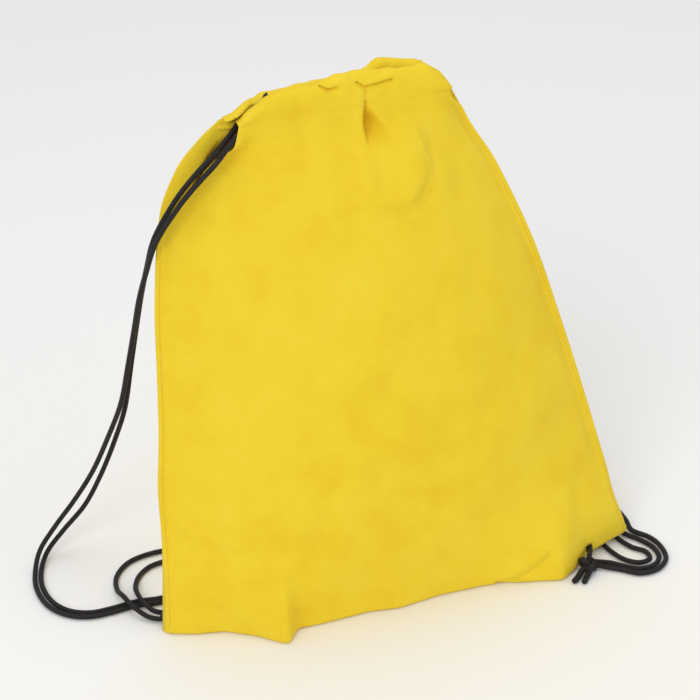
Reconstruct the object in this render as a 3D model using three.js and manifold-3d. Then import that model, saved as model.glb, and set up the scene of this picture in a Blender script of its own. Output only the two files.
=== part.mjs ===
// Drawstring backpack of thin non-woven fabric, standing on its base and lightly filled.
// Units are millimetres. +Z is up, -Y is the front of the bag, +X is its right end seen from the front.
// The origin is on the floor, under the middle of the fabric. The cloth solids are thicker than the cloth.
import * as THREE from 'three';
import Module from 'manifold-3d';
import { mergeVertices } from 'three/addons/utils/BufferGeometryUtils.js';

const wasm = await Module();
wasm.setup();

// Driving dimensions
const CLOTH = 2; // thickness of the cloth solids
const GAP = 0.3; // clearance between pieces that touch
const SEAM_GAP = 0.4; // between the front and back layers at the side seams
const FIN_WIDTH = 5; // sewn edge that stands out along each side
const PANEL_TOP = 356.2; // where the panels end and the channels begin
const CHANNEL_LENGTH = 114;
const CHANNEL_HEIGHT = 20;
const CHANNEL_DEPTH = 10.4;
const CHANNEL_SPACING = 18; // front channel to back channel, centre to centre
const CHANNEL_WALL = 0.9;
const CHANNEL_HEM = 2.5; // sewn strip below and above each tunnel
const CHANNEL_MIDDLE = [-9, 20, 366.5]; // middle of the drawn mouth
const CORNER_LIFT = 7; // the right bottom corner stands off the floor
const CORNER_PUSHES = [[-90, 10], [108, 8]]; // [x, distance]: the front edge of the base stands out here
const PUSH_WIDTH = 18;
const HOLE_RADIUS = 3.2; // hole for the cord at each bottom corner
const LEFT_HOLE = [-157, 11]; // x and height, in the back layer
const RIGHT_HOLE = [137, 9.6]; // x and height, in the front layer
const CORD_DIAMETER = 3.6;
const CORD_DROP = 3.5; // the cords run this far below the middle of a channel
const LANE = 1.95; // where it leaves a channel, a strap is this far below the cords' line and a bight above
const TURN_REACH = 6.5; // how far a bight stands out past its straight runs
const CORD_OFFSET = 2.1; // the two cords pass each other this far in front of and behind the middle
const STRAND_IN_CHANNEL = 24; // each strap strand starts this far inside its channel
const THREAD_WIDTH = 0.8;
const KNOT_RADIUS = 5;
const COLUMNS = 24; // faces across a panel

// Sections of the filled bag by height: each row is [height, value]
const HALF_WIDTH = [
  [0, 170], [60, 161.5], [120, 152], [180, 142], [240, 131], [300, 114], [325, 101], [340, 91.5], [357, 78],
];
const SIDEWAYS = [
  [0, 0], [60, -2], [120, -6], [180, -11], [240, -17], [300, -24], [325, -25], [340, -22.5], [357, -17],
];
const SEAM_Y = [[0, -20], [60, -13], [120, -5], [180, 3], [240, 10], [300, 16], [340, 20], [357, 20]];
const FRONT_BULGE = [[0, 30], [60, 44], [120, 50], [180, 50], [240, 44], [300, 31], [340, 17], [357, 12]];
const BACK_BULGE = [[0, 42], [60, 52], [120, 56], [180, 54], [240, 46], [300, 33], [340, 17], [357, 12]];

const FABRIC_YELLOW = 0xf2d43a;
const THREAD_YELLOW = 0xd9b92c;
const CORD_BLACK = 0x231f20;
const FLOOR_Z = CORD_DIAMETER / 2 + 0.3;
const OVER_Z = FLOOR_Z + 4.2; // a cord passing over one cord
const bag = new THREE.Group();

function fabricMaterial() {
  return new THREE.MeshStandardMaterial({ color: FABRIC_YELLOW, roughness: 0.85, metalness: 0 });
}

function threadMaterial() {
  return new THREE.MeshStandardMaterial({ color: THREAD_YELLOW, roughness: 0.7, metalness: 0 });
}

function cordMaterial() {
  return new THREE.MeshStandardMaterial({ color: CORD_BLACK, roughness: 0.6, metalness: 0 });
}

function addPiece(name, geometry, material) {
  const mesh = new THREE.Mesh(geometry, material);
  mesh.name = name;
  bag.add(mesh);
  return mesh;
}

function smoothStep(low, high, value) {
  return THREE.MathUtils.smoothstep(value, low, high);
}

// Value of a table at a height, along a smooth curve through its rows
function atHeight(table, height) {
  const last = table.length - 1;
  let row = 0;
  while (row < last - 1 && height > table[row + 1][0]) row += 1;
  const [z0, v0] = table[row];
  const [z1, v1] = table[row + 1];
  const slopeAt = (i) => {
    const [low, high] = [table[Math.max(i - 1, 0)], table[Math.min(i + 1, last)]];
    return (high[1] - low[1]) / (high[0] - low[0]);
  };
  const t = THREE.MathUtils.clamp((height - z0) / (z1 - z0), 0, 1);
  const span = z1 - z0;
  const ease = t * t * (3 - 2 * t);
  return v0 + (v1 - v0) * ease + span * t * (1 - t) * (slopeAt(row) * (1 - t) - slopeAt(row + 1) * t);
}

// Share of the full bulge across the width: u runs from -1 at the left seam to 1 at the right seam.
// Low down the corners are ears, flatter at the back; higher up the section is a lens.
function bulgeShare(side, u, height) {
  const finStart = 1 - FIN_WIDTH / atHeight(HALF_WIDTH, height);
  const inner = Math.min(Math.abs(u) / finStart, 1);
  const rise = Math.min((1 - inner) / 0.42, 1);
  const ear = side < 0 ? rise * (2 - rise) : 1 - smoothStep(0.5, 1, inner);
  const lens = 1 - inner ** (2.2 + 2 * smoothStep(280, 356, height));
  return THREE.MathUtils.lerp(ear, lens, smoothStep(0, 70, height));
}

// The right bottom corner is lifted, less and less with height
function settle(x, y, height) {
  const lift = CORNER_LIFT * smoothStep(105, 150, x) * THREE.MathUtils.clamp((80 - height) / 70, 0, 1);
  return new THREE.Vector3(x, y, height + lift);
}

// The front edge of the base stands out near its two corners, less and less with height
function cornerPush(side, x, height) {
  if (side > 0) return 0;
  const share = (at) => Math.exp(-(((x - at) / PUSH_WIDTH) ** 2));
  const push = CORNER_PUSHES.reduce((sum, [at, out]) => sum + out * share(at), 0);
  return push * (1 - smoothStep(0, 70, height));
}

// side is -1 for the front layer and 1 for the back layer; depth 0 is the outer face
function clothPoint(side, u, height, depth) {
  const bulge = atHeight(side < 0 ? FRONT_BULGE : BACK_BULGE, height) * bulgeShare(side, u, height);
  const x = atHeight(SIDEWAYS, height) + atHeight(HALF_WIDTH, height) * u;
  const out = SEAM_GAP / 2 + CLOTH - depth + bulge + cornerPush(side, x, height);
  return settle(x, atHeight(SEAM_Y, height) + side * out, height);
}

// Closed sheet between two surfaces, each given as a function of column and row shares from 0 to 1
function sheetGeometry(columns, rows, outer, inner) {
  const positions = [];
  const index = [];
  const id = (layer, i, j) => (layer * (rows + 1) + j) * (columns + 1) + i;
  const quad = (a, b, c, d) => index.push(a, b, c, a, c, d);
  for (const surface of [outer, inner]) {
    for (let j = 0; j <= rows; j += 1) {
      for (let i = 0; i <= columns; i += 1) positions.push(...surface(i / columns, j / rows).toArray());
    }
  }
  for (let j = 0; j < rows; j += 1) {
    for (let i = 0; i < columns; i += 1) {
      quad(id(0, i, j), id(0, i + 1, j), id(0, i + 1, j + 1), id(0, i, j + 1));
      quad(id(1, i, j), id(1, i, j + 1), id(1, i + 1, j + 1), id(1, i + 1, j));
    }
    quad(id(0, 0, j), id(0, 0, j + 1), id(1, 0, j + 1), id(1, 0, j));
    quad(id(0, columns, j), id(1, columns, j), id(1, columns, j + 1), id(0, columns, j + 1));
  }
  for (let i = 0; i < columns; i += 1) {
    quad(id(0, i, 0), id(1, i, 0), id(1, i + 1, 0), id(0, i + 1, 0));
    quad(id(0, i, rows), id(0, i + 1, rows), id(1, i + 1, rows), id(1, i, rows));
  }
  const geometry = new THREE.BufferGeometry();
  geometry.setAttribute('position', new THREE.Float32BufferAttribute(positions, 3));
  geometry.setIndex(index);
  return geometry;
}

function toSolid(geometry) {
  const plain = geometry.clone();
  plain.deleteAttribute('normal');
  plain.deleteAttribute('uv');
  const merged = mergeVertices(plain, 1e-4);
  const vertProperties = new Float32Array(merged.attributes.position.array);
  const triVerts = new Uint32Array(merged.index.array);
  return new wasm.Manifold(new wasm.Mesh({ numProp: 3, vertProperties, triVerts }));
}

function fromSolid(solid) {
  const { vertProperties, triVerts } = solid.getMesh();
  const geometry = new THREE.BufferGeometry();
  geometry.setAttribute('position', new THREE.BufferAttribute(vertProperties, 3));
  geometry.setIndex(new THREE.BufferAttribute(triVerts, 1));
  return geometry;
}

// The cord's hole through one layer of the cloth, cut from the seam's plane outwards
function cutHole(geometry, side, [x, z]) {
  const length = 60;
  const middle = atHeight(SEAM_Y, z) + side * length / 2;
  const cutter = new THREE.CylinderGeometry(HOLE_RADIUS, HOLE_RADIUS, length, 16).translate(x, middle, z);
  return fromSolid(toSolid(geometry).subtract(toSolid(cutter)));
}

// The first and last columns are the sewn edges; the others share the width between them
function acrossPanel(share, height) {
  const finStart = 1 - FIN_WIDTH / atHeight(HALF_WIDTH, height);
  const column = Math.round(share * COLUMNS);
  if (column === 0) return -1;
  if (column === COLUMNS) return 1;
  return finStart * (2 * (column - 1) / (COLUMNS - 2) - 1);
}

function panelGeometry(side) {
  const height = (v) => CLOTH + GAP + v * (PANEL_TOP - CLOTH - GAP);
  const face = (s, v, depth) => clothPoint(side, -side * acrossPanel(s, height(v)), height(v), depth);
  const outer = (s, v) => face(s, v, 0);
  const inner = (s, v) => face(s, v, CLOTH);
  return sheetGeometry(COLUMNS, 14, outer, inner);
}

// The base is the folded middle of the cloth, lying on the floor
function baseGeometry() {
  const edge = (side, s) => clothPoint(side, acrossPanel(s, 0), 0, 0);
  const between = (s, v, lift) => edge(-1, s).lerp(edge(1, s), v).add(new THREE.Vector3(0, 0, lift));
  return sheetGeometry(COLUMNS, 2, (s, v) => between(s, v, CLOTH), (s, v) => between(s, v, 0));
}

// Flat tunnel: a rounded outline with a rounded hole, run along its length
function roundedOutline(shape, depth, height, radius) {
  const [x, y] = [depth / 2, height / 2];
  shape.moveTo(-x + radius, -y);
  shape.lineTo(x - radius, -y);
  shape.absarc(x - radius, -y + radius, radius, -Math.PI / 2, 0);
  shape.absarc(x - radius, y - radius, radius, 0, Math.PI / 2);
  shape.absarc(-x + radius, y - radius, radius, Math.PI / 2, Math.PI);
  shape.absarc(-x + radius, -y + radius, radius, Math.PI, 1.5 * Math.PI);
  return shape;
}

function channelCentre(side, along) {
  const [x, y, z] = CHANNEL_MIDDLE;
  return new THREE.Vector3(x + along, y + side * CHANNEL_SPACING / 2, z);
}

function channelGeometry(side) {
  const shape = roundedOutline(new THREE.Shape(), CHANNEL_DEPTH, CHANNEL_HEIGHT, 2.5);
  const innerDepth = CHANNEL_DEPTH - 2 * CHANNEL_WALL;
  shape.holes.push(roundedOutline(new THREE.Path(), innerDepth, CHANNEL_HEIGHT - 2 * CHANNEL_HEM, 2));
  const start = channelCentre(side, -CHANNEL_LENGTH / 2);
  const end = channelCentre(side, CHANNEL_LENGTH / 2);
  const geometry = new THREE.ExtrudeGeometry(shape, { depth: 1, bevelEnabled: false, curveSegments: 3 });
  // Columns: the shape's x is the bag's -Y, its y is the bag's Z, its length runs along the channel
  const run = new THREE.Matrix4().makeBasis(
    new THREE.Vector3(0, 1, 0), new THREE.Vector3(0, 0, 1), end.clone().sub(start));
  return geometry.applyMatrix4(run.setPosition(start));
}

function tubeGeometry(points, diameter, sides, stepLength) {
  const curve = new THREE.CatmullRomCurve3(points, false, 'centripetal');
  const section = new THREE.Shape();
  for (let i = 0; i < sides; i += 1) {
    const angle = (2 * Math.PI * (i + 0.5)) / sides;
    section[i ? 'lineTo' : 'moveTo'](diameter / 2 * Math.cos(angle), diameter / 2 * Math.sin(angle));
  }
  const steps = Math.min(80, Math.ceil(curve.getLength() / stepLength));
  return new THREE.ExtrudeGeometry(section, { steps, extrudePath: curve });
}

function cordGeometry(points) {
  return tubeGeometry(points.map((p) => new THREE.Vector3(...p)), CORD_DIAMETER, 8, 2.5 * CORD_DIAMETER);
}

function threadGeometry(points) {
  return tubeGeometry(points, THREAD_WIDTH, 4, 12);
}

// Thread along the middle of a side seam, on the front face of the sewn edge
function sideStitching(end) {
  const rows = 28;
  const points = [];
  for (let i = 0; i <= rows; i += 1) {
    const height = 8 + (PANEL_TOP - 16) * (i / rows);
    const u = end * (1 - 0.6 * FIN_WIDTH / atHeight(HALF_WIDTH, height));
    points.push(clothPoint(-1, u, height, -GAP - THREAD_WIDTH / 2));
  }
  return threadGeometry(points);
}

// Thread along the hem below a channel, on the channel's outer face
function channelStitching(side) {
  const out = new THREE.Vector3(0, side * (CHANNEL_DEPTH / 2 + GAP + THREAD_WIDTH / 2), 0);
  const down = new THREE.Vector3(0, 0, -CHANNEL_HEIGHT / 2 + CHANNEL_HEM + 1);
  const half = CHANNEL_LENGTH / 2 - 3;
  return threadGeometry([-half, 0, half].map((along) => channelCentre(side, along).add(out).add(down)));
}

// A cord's line through a channel: it rises from the strap's end of the mouth to its bight.
// end is -1 for the cord of the left strap; along runs from 0 at the strap's end of the channel.
function cordLine(end, side, along) {
  const rise = LANE * (2 * along / CHANNEL_LENGTH - 1);
  const offset = new THREE.Vector3(0, end * CORD_OFFSET, rise - CORD_DROP);
  return channelCentre(side, end * (CHANNEL_LENGTH / 2 - along)).add(offset);
}

// Each cord lies in both channels and turns round the far end of the mouth
function channelRun(end) {
  const inside = STRAND_IN_CHANNEL + GAP;
  const straight = [inside, CHANNEL_LENGTH / 2, CHANNEL_LENGTH - 12, CHANNEL_LENGTH + 2];
  const points = straight.map((along) => cordLine(end, -1, along));
  const turns = 5;
  for (let i = 1; i < turns; i += 1) {
    const angle = (Math.PI * i) / turns - Math.PI / 2;
    const along = CHANNEL_LENGTH + 2 + TURN_REACH * Math.cos(angle);
    points.push(cordLine(end, -1, along).lerp(cordLine(end, 1, along), (1 + Math.sin(angle)) / 2));
  }
  points.push(...straight.reverse().map((along) => cordLine(end, 1, along)));
  return tubeGeometry(points, CORD_DIAMETER, 8, 2 * CORD_DIAMETER);
}

// A strand starts inside its channel and leaves straight out of the tunnel
function strandStart(end, side) {
  return [STRAND_IN_CHANNEL, 0, -5].map((along) => cordLine(end, side, along).toArray());
}

// The left strap swings out past the left side, lands behind it and comes back along the floor to the corner
const LEFT_OUTER_ROUTE = [
  [-76.5, 7, 359.2], [-82, 6, 353.8], [-86.4, 4.8, 349.2], [-91.8, 4, 343.4], [-98.9, 4, 335],
  [-108.3, 3.5, 327], [-117.9, 3.2, 318.4], [-126.9, 3, 309.3], [-143.6, 6, 286], [-151.1, 15, 259.6],
  [-156, 24, 236],
  [-159.8, 34, 208.5], [-164.6, 45, 176.3], [-170.5, 57.5, 140], [-180, 71, 106.7], [-192.5, 84, 72],
  [-207.4, 93, 44.5], [-222, 96, 25], [-235.7, 90, 11], [-242.5, 76, FLOOR_Z + 1], [-245, 55, FLOOR_Z],
  [-240, 31, FLOOR_Z], [-228, 16, FLOOR_Z], [-214, 10, FLOOR_Z], [-200, 10, FLOOR_Z], [-181, 12, FLOOR_Z],
  [-162, 10, FLOOR_Z], [-143, 13, FLOOR_Z], [-128, 25, FLOOR_Z], [-122, 43, FLOOR_Z], [-128, 61, FLOOR_Z],
  [-142, 70, FLOOR_Z], [-160, 71, FLOOR_Z], [-177, 65, FLOOR_Z], [-188, 51, FLOOR_Z], [-191, 34, FLOOR_Z + 1],
  [-189, 20, OVER_Z], [-185, 6, OVER_Z], [-177, -5, FLOOR_Z + 1], [-169, -10.5, FLOOR_Z + 1],
];
const LEFT_INNER_ROUTE = [
  [-76.5, 22, 360], [-81.5, 16.5, 359.6], [-86, 12, 358.4], [-89.5, 9.5, 353.4], [-92.5, 9, 348],
  [-97, 9, 341.9], [-103.3, 8.5, 336.4], [-110, 8, 331], [-121.4, 7.5, 320.2], [-130.5, 8, 309], [-144, 12, 285],
  [-149.5, 20, 260.4], [-153.7, 29, 235], [-157.7, 39, 205.4], [-161.8, 50, 173], [-167, 64, 132],
  [-174, 76, 102], [-186, 89, 65],
  [-199.3, 98, 36], [-216, 100, 17.5], [-229.4, 94, 7], [-237, 80, FLOOR_Z + 0.6], [-240.5, 57, FLOOR_Z],
  [-236, 34, FLOOR_Z], [-226, 20.5, FLOOR_Z], [-213, 14.5, FLOOR_Z], [-199, 14.6, FLOOR_Z],
  [-181, 16.6, FLOOR_Z], [-163, 14.8, FLOOR_Z], [-146, 17.5, FLOOR_Z], [-134, 27, FLOOR_Z],
  [-129, 40, FLOOR_Z], [-132, 52, FLOOR_Z], [-141, 58, FLOOR_Z], [-152, 58, FLOOR_Z], [-163, 55, FLOOR_Z],
  [-172, 47, FLOOR_Z], [-177, 36, FLOOR_Z + 1], [-179, 22, OVER_Z], [-177, 8, OVER_Z],
  [-172, -1, FLOOR_Z + 2], [-166, -6.3, FLOOR_Z + 2.5],
];

// The right strap hangs down the back, loops on the floor there, passes under the lifted corner,
// turns back on itself and is tied in front of the corner
const RIGHT_OUTER_ROUTE = [
  [57, 17.5, 359.4], [59.5, 23, 358.6], [60.8, 28.5, 355.5], [62, 32, 347], [64.5, 35, 334], [69, 37, 314],
  [76, 37, 285], [88, 36, 220],
  [99, 37, 140], [109, 39.5, 55],
  [114.5, 46, 18], [120.5, 60, FLOOR_Z + 2], [123.5, 80, FLOOR_Z], [131, 99, FLOOR_Z], [142.5, 96.5, FLOOR_Z],
  [145.5, 82, FLOOR_Z], [138, 60, FLOOR_Z], [147, 33, FLOOR_Z], [160, 10, FLOOR_Z], [164.5, -26, FLOOR_Z],
  [170, -40, FLOOR_Z], [177, -48.5, FLOOR_Z], [176.5, -57.5, FLOOR_Z], [168.5, -59.8, FLOOR_Z],
  [160, -53.5, FLOOR_Z], [153.5, -38, FLOOR_Z], [151, -18, FLOOR_Z], [150, -3, FLOOR_Z + 1], [155, 8, OVER_Z],
  [165, 11, OVER_Z], [174.5, 4, OVER_Z], [178, -8, FLOOR_Z + 1.5], [178, -20, FLOOR_Z], [186, -32, FLOOR_Z],
  [189.5, -44, FLOOR_Z], [187.5, -61, FLOOR_Z], [177.5, -71, FLOOR_Z], [164, -72, FLOOR_Z],
  [152, -62.7, FLOOR_Z], [138.2, -54.6, FLOOR_Z + 1.2],
];
const RIGHT_INNER_ROUTE = [
  [57.5, 34, 358], [60, 37.5, 350], [61.5, 40, 337], [64.5, 41.5, 316], [70, 41.5, 282], [80, 41, 220],
  [91, 41, 140], [101, 43.5, 60],
  [105.5, 50, 22], [110.5, 64, FLOOR_Z + 1.5], [113.5, 82, FLOOR_Z], [117, 101, FLOOR_Z], [129, 112, FLOOR_Z],
  [146, 109, FLOOR_Z], [154.5, 94, FLOOR_Z], [151.5, 79, FLOOR_Z], [146, 63, FLOOR_Z], [151, 45, FLOOR_Z],
  [163, 28, FLOOR_Z], [171, 10, FLOOR_Z], [170.5, -8, FLOOR_Z], [171.5, -22, FLOOR_Z], [178.5, -33, FLOOR_Z],
  [184, -45, FLOOR_Z], [183.4, -58, FLOOR_Z], [176, -66, FLOOR_Z], [165, -66.5, FLOOR_Z], [156, -60, FLOOR_Z],
  [148.5, -53, FLOOR_Z], [142.5, -50.4, FLOOR_Z + 0.5], [136.6, -49.8, FLOOR_Z + 1.8],
];

function knotGeometry(centre) {
  const knot = new THREE.SphereGeometry(KNOT_RADIUS, 12, 8);
  return knot.scale(1.1, 0.9, 0.85).translate(...centre);
}

// Each tie runs from its knot through the hole into the corner
const LEFT_KNOT = [-161.5, -11.4, 5.2];
const RIGHT_KNOT = [131.2, -54.5, 5.2];
const LEFT_TIE_ROUTE = [[-157.4, -9.6, 10.9], [-156.6, -12.5, 11.6], [-157, -17.5, 11]];
const RIGHT_TIE_ROUTE = [[132.9, -51.2, 9.2], [134.6, -48.2, 11], [136.6, -44, 10], [138, -39.5, 10]];
const TAIL_ROUTES = {
  left_tail_upper: [[-155.4, -9, 5], [-149, -5, 4], [-141, -3, FLOOR_Z]],
  left_tail_lower: [[-157, -5.8, 2.6], [-152, 1, FLOOR_Z], [-145, 6, FLOOR_Z]],
  right_tail_upper: [[125.2, -57.6, 4.2], [121, -61, FLOOR_Z], [115.5, -66, FLOOR_Z]],
  right_tail_lower: [[129.2, -60.6, 3.4], [126, -64, FLOOR_Z], [122, -69, FLOOR_Z]],
};

addPiece('front_panel', cutHole(panelGeometry(-1), -1, RIGHT_HOLE), fabricMaterial());
addPiece('back_panel', cutHole(panelGeometry(1), 1, LEFT_HOLE), fabricMaterial());
addPiece('base_fold', baseGeometry(), fabricMaterial());
addPiece('front_channel', channelGeometry(-1), fabricMaterial());
addPiece('back_channel', channelGeometry(1), fabricMaterial());
addPiece('left_side_stitching', sideStitching(-1), threadMaterial());
addPiece('right_side_stitching', sideStitching(1), threadMaterial());
addPiece('front_channel_stitching', channelStitching(-1), threadMaterial());
addPiece('back_channel_stitching', channelStitching(1), threadMaterial());
addPiece('left_cord_in_channels', channelRun(-1), cordMaterial());
addPiece('right_cord_in_channels', channelRun(1), cordMaterial());
addPiece('left_strap_outer', cordGeometry([...strandStart(-1, -1), ...LEFT_OUTER_ROUTE]), cordMaterial());
addPiece('left_strap_inner', cordGeometry([...strandStart(-1, 1), ...LEFT_INNER_ROUTE]), cordMaterial());
addPiece('right_strap_outer', cordGeometry([...strandStart(1, -1), ...RIGHT_OUTER_ROUTE]), cordMaterial());
addPiece('right_strap_inner', cordGeometry([...strandStart(1, 1), ...RIGHT_INNER_ROUTE]), cordMaterial());
addPiece('left_corner_knot', knotGeometry(LEFT_KNOT), cordMaterial());
addPiece('right_corner_knot', knotGeometry(RIGHT_KNOT), cordMaterial());
addPiece('left_corner_tie', cordGeometry(LEFT_TIE_ROUTE), cordMaterial());
addPiece('right_corner_tie', cordGeometry(RIGHT_TIE_ROUTE), cordMaterial());
for (const [name, route] of Object.entries(TAIL_ROUTES)) {
  addPiece(name, cordGeometry(route), cordMaterial());
}

export default bag;
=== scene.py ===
import math

import bpy
import numpy as np
from mathutils import Matrix, Vector


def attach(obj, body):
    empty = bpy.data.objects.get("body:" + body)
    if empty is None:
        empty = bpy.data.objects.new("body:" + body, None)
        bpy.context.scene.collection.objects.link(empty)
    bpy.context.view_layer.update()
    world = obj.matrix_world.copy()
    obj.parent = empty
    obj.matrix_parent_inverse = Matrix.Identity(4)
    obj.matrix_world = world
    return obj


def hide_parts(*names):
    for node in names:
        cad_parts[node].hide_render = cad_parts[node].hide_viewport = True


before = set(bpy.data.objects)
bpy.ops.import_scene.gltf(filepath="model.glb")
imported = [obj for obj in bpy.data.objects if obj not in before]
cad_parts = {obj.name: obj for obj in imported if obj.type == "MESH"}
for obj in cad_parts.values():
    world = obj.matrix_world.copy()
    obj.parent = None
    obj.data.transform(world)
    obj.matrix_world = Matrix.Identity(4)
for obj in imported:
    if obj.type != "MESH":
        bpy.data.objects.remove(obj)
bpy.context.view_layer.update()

# Lengths in the tables below are millimetres; MM turns them into metres.
MM = 0.001
rng = np.random.default_rng(11)
scene = bpy.context.scene
scene.view_settings.view_transform = "Standard"


# ---------------------------------------------------------------- camera
CAMERA_TARGET = Vector((-0.02365, -0.0126, 0.1903))
CAMERA_DISTANCE = 1.6
CAMERA_LENS = 123.04


def add_camera():
    """Camera to the front's left and above, level but for a slight roll."""
    azimuth, elevation, roll = math.radians(-14.81), math.radians(30), math.radians(3)
    back = Vector((math.sin(azimuth) * math.cos(elevation), -math.cos(azimuth) * math.cos(elevation),
                   math.sin(elevation)))
    level = Vector((math.cos(azimuth), math.sin(azimuth), 0))
    upright = back.cross(level)
    right = level * math.cos(roll) - upright * math.sin(roll)
    up = upright * math.cos(roll) + level * math.sin(roll)
    camera = bpy.data.objects.new("camera", bpy.data.cameras.new("camera"))
    camera.data.sensor_width = 36
    camera.data.lens = CAMERA_LENS
    place = Matrix((right, up, back)).transposed().to_4x4()
    place.translation = CAMERA_TARGET + back * CAMERA_DISTANCE
    camera.matrix_world = place
    scene.collection.objects.link(camera)
    scene.camera = camera


add_camera()


# ---------------------------------------------------------------- helpers
def smooth(low, high, value):
    """0 below low, 1 above high and an even ease between them."""
    t = np.clip((np.asarray(value, float) - low) / (high - low), 0, 1)
    return t * t * (3 - 2 * t)


def table(rows, height):
    """Value of a table at a height, along a smooth curve through its rows."""
    z, v = np.array(rows, float).T
    last = len(z) - 1
    height = np.asarray(height, float)
    row = np.clip(np.searchsorted(z, height, side="left") - 1, 0, last - 1)
    index = np.arange(last + 1)
    low, high = np.maximum(index - 1, 0), np.minimum(index + 1, last)
    slope = (v[high] - v[low]) / (z[high] - z[low])
    span = z[row + 1] - z[row]
    t = np.clip((height - z[row]) / span, 0, 1)
    ease = t * t * (3 - 2 * t)
    bend = span * t * (1 - t) * (slope[row] * (1 - t) - slope[row + 1] * t)
    return v[row] + (v[row + 1] - v[row]) * ease + bend


def new_object(name, vertices, faces, material, uv=None, uv_name="cloth"):
    """Mesh from arrays, smooth shaded; vertices in millimetres, uv per vertex."""
    mesh = bpy.data.meshes.new(name)
    mesh.from_pydata((np.asarray(vertices) * MM).tolist(), [], [list(map(int, f)) for f in faces])
    mesh.validate()
    if uv is not None:
        layer = mesh.uv_layers.new(name=uv_name)
        corners = np.empty(len(mesh.loops), int)
        mesh.loops.foreach_get("vertex_index", corners)
        layer.data.foreach_set("uv", np.asarray(uv, float)[corners].ravel())
    mesh.polygons.foreach_set("use_smooth", [True] * len(mesh.polygons))
    mesh.materials.append(material)
    mesh.update()
    obj = bpy.data.objects.new(name, mesh)
    scene.collection.objects.link(obj)
    return obj


CURVE_STEP = 0.4


def curve_through(points, step):
    """Centripetal Catmull-Rom curve through the points, sampled about every step."""
    p = np.array(points, float)
    p = np.vstack([2 * p[0] - p[1], p, 2 * p[-1] - p[-2]])
    line = []
    for i in range(1, len(p) - 2):
        p0, p1, p2, p3 = p[i - 1:i + 3]
        legs = ((p0, p1), (p1, p2), (p2, p3))
        t0, t1, t2, t3 = np.cumsum([0] + [max(np.linalg.norm(b - a), 1e-6) ** 0.5 for a, b in legs])
        count = max(2, int(math.ceil(np.linalg.norm(p2 - p1) / CURVE_STEP)))
        t = np.linspace(t1, t2, count, endpoint=False)[:, None]
        a1 = (t1 - t) / (t1 - t0) * p0 + (t - t0) / (t1 - t0) * p1
        a2 = (t2 - t) / (t2 - t1) * p1 + (t - t1) / (t2 - t1) * p2
        a3 = (t3 - t) / (t3 - t2) * p2 + (t - t2) / (t3 - t2) * p3
        b1 = (t2 - t) / (t2 - t0) * a1 + (t - t0) / (t2 - t0) * a2
        b2 = (t3 - t) / (t3 - t1) * a2 + (t - t1) / (t3 - t1) * a3
        line.append((t2 - t) / (t2 - t1) * b1 + (t - t1) / (t2 - t1) * b2)
    line = np.vstack(line + [p[-2:-1]])
    along = np.concatenate([[0], np.cumsum(np.linalg.norm(np.diff(line, axis=0), axis=1))])
    even = np.linspace(0, along[-1], max(3, int(round(along[-1] / step)) + 1))
    return np.stack([np.interp(even, along, line[:, k]) for k in range(3)], axis=1), even


# A braid's crossing ridges: how many go round the cord each way, and how far they turn in each millimetre
BRAID_RIDGES = 4
BRAID_TURN = 1.5


def tube(name, points, radius, material, sides=14, step=1.1, closed=False, braid=0.0, ends=(0.0, 0.0)):
    """Round cord along a curve; ends gives how far each end is drawn in to a rounded tip."""
    line, along = curve_through(points, step)
    if closed:
        line, along = line[:-1], along[:-1]
    count = len(line)
    tangent = np.roll(line, -1, 0) - np.roll(line, 1, 0) if closed else np.gradient(line, axis=0)
    tangent /= np.linalg.norm(tangent, axis=1)[:, None]
    normal = np.cross(tangent[0], [0.3, 0.2, 0.93])
    frames = []
    for t in tangent:
        normal = normal - t * normal.dot(t)
        normal /= np.linalg.norm(normal)
        frames.append((normal, np.cross(t, normal)))
    size = np.full(count, radius)
    for reach, distance in ((ends[0], along), (ends[1], along[-1] - along)):
        if reach:
            size *= np.sqrt(np.clip(1 - (1 - np.clip(distance / reach, 0, 1)) ** 2, 0.02, 1))
    angle = np.linspace(0, 2 * math.pi, sides + 1)[:-1]
    vertices, uv = [], []
    for i in range(count):
        round_it, onward = BRAID_RIDGES * angle, along[i] * BRAID_TURN
        relief = 1 + braid * np.sin(round_it + onward) * np.sin(round_it - onward)
        ring = np.outer(np.cos(angle) * relief, frames[i][0]) + np.outer(np.sin(angle) * relief, frames[i][1])
        vertices.append(line[i] + size[i] * ring)
        uv.append(np.stack([angle / (2 * math.pi), np.full(sides, along[i] * MM)], axis=1))
    vertices, uv = np.vstack(vertices), np.vstack(uv)
    faces = []
    for i in range(count if closed else count - 1):
        near, far = i * sides, (i + 1) % count * sides
        for k in range(sides):
            after = (k + 1) % sides
            faces.append((near + k, near + after, far + after, far + k))
    if not closed:
        faces.append(list(range(sides))[::-1])
        faces.append([(count - 1) * sides + k for k in range(sides)])
    obj = new_object(name, vertices, faces, material, uv, "cord")
    return obj, line * MM, along[-1] * MM


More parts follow.
